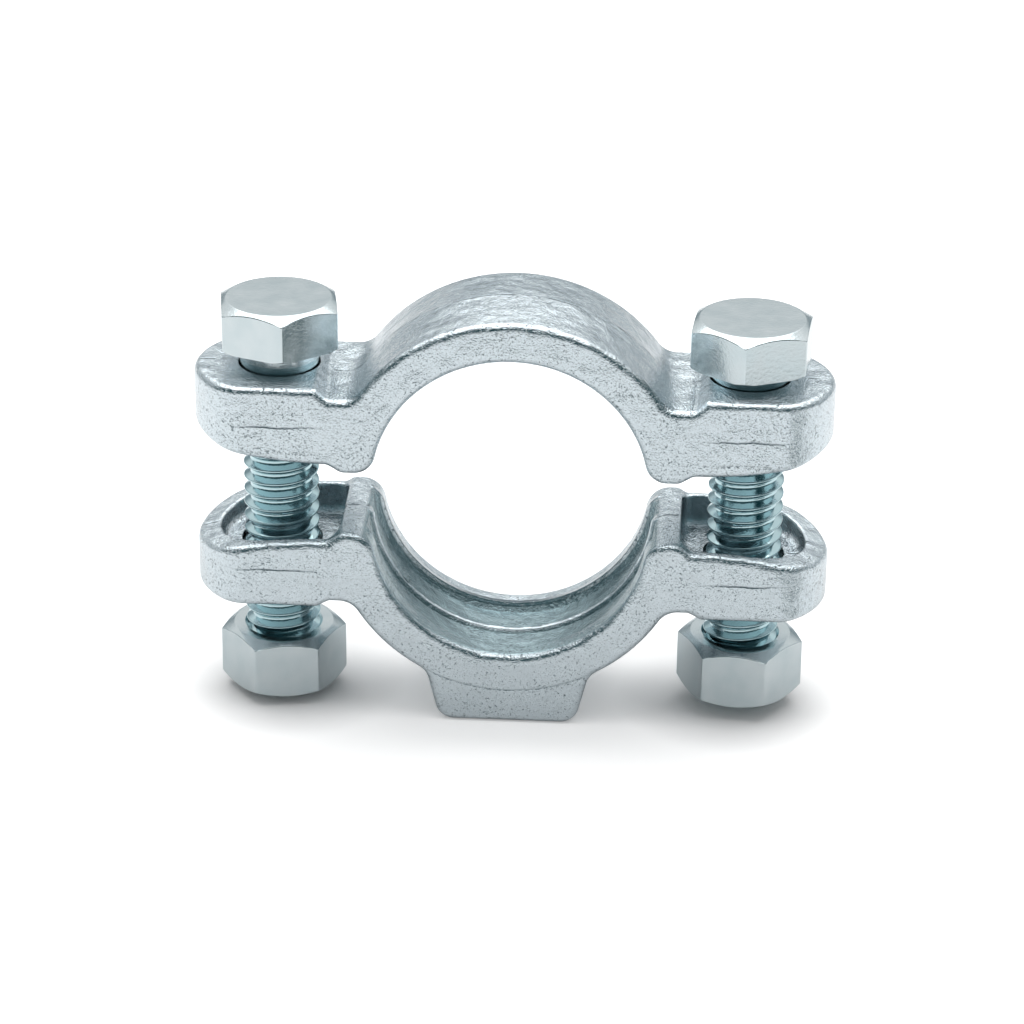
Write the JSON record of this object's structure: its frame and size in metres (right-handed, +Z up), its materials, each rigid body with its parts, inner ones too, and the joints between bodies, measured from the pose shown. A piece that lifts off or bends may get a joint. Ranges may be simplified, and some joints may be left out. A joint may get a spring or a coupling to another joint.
{
  "type": "double bolt pipe clamp",
  "caption": "Cast split pipe clamp: two half-round jaws with ears and a foot below, drawn together round a pipe by hexagon bolts and nuts.",
  "frame": {"origin": "middle of the foot's flat underside, on which the clamp stands", "axes": "+X from the left bolt to the right bolt, +Y along the pipe's axis, +Z up from the foot to the upper jaw's crown"},
  "size_m": [0.1008, 0.023, 0.0693],
  "materials": {
    "zinc_plated_casting": "bright blue-white zinc plating over a rough cast skin",
    "zinc_plated_steel": "bright blue-white zinc plating over smooth forged and rolled steel"
  },
  "bodies": {
    "lower_jaw": {"lower_jaw": "zinc_plated_casting"},
    "upper_jaw": {"upper_jaw": "zinc_plated_casting"},
    "bolt_left": {"bolt_left": "zinc_plated_steel"},
    "bolt_right": {"bolt_right": "zinc_plated_steel"},
    "nut_left": {"nut_left": "zinc_plated_steel"},
    "nut_right": {"nut_right": "zinc_plated_steel"}
  },
  "joints": [
    {"name": "left_bolt_turn", "type": "hinge", "parent": "upper_jaw", "child": "bolt_left", "pos_m": [-0.037, 0, 0.06], "axis": [0, 0, -1], "range_deg": [0, 2778.26]},
    {"name": "right_bolt_turn", "type": "hinge", "parent": "upper_jaw", "child": "bolt_right", "pos_m": [0.037, 0, 0.06], "axis": [0, 0, -1], "range_deg": [0, 2621.74]},
    {"name": "jaw_close", "type": "slide", "parent": "lower_jaw", "child": "upper_jaw", "axis": [0, 0, -1], "range_m": [0, 0.0099]},
    {"name": "left_nut_run", "type": "slide", "parent": "lower_jaw", "child": "nut_left", "axis": [0, 0, 1], "range_m": [0, 0.00785]},
    {"name": "right_nut_run", "type": "slide", "parent": "lower_jaw", "child": "nut_right", "axis": [0, 0, 1], "range_m": [0, 0.00685]}
  ],
  "couplings": [
    {"joint": "right_bolt_turn", "follows": "left_bolt_turn", "ratio": 0.94366},
    {"joint": "jaw_close", "follows": "left_bolt_turn", "m_per_rad": 0.00020417},
    {"joint": "left_nut_run", "follows": "left_bolt_turn", "m_per_rad": 0.00016189},
    {"joint": "right_nut_run", "follows": "left_bolt_turn", "m_per_rad": 0.00014127}
  ]
}
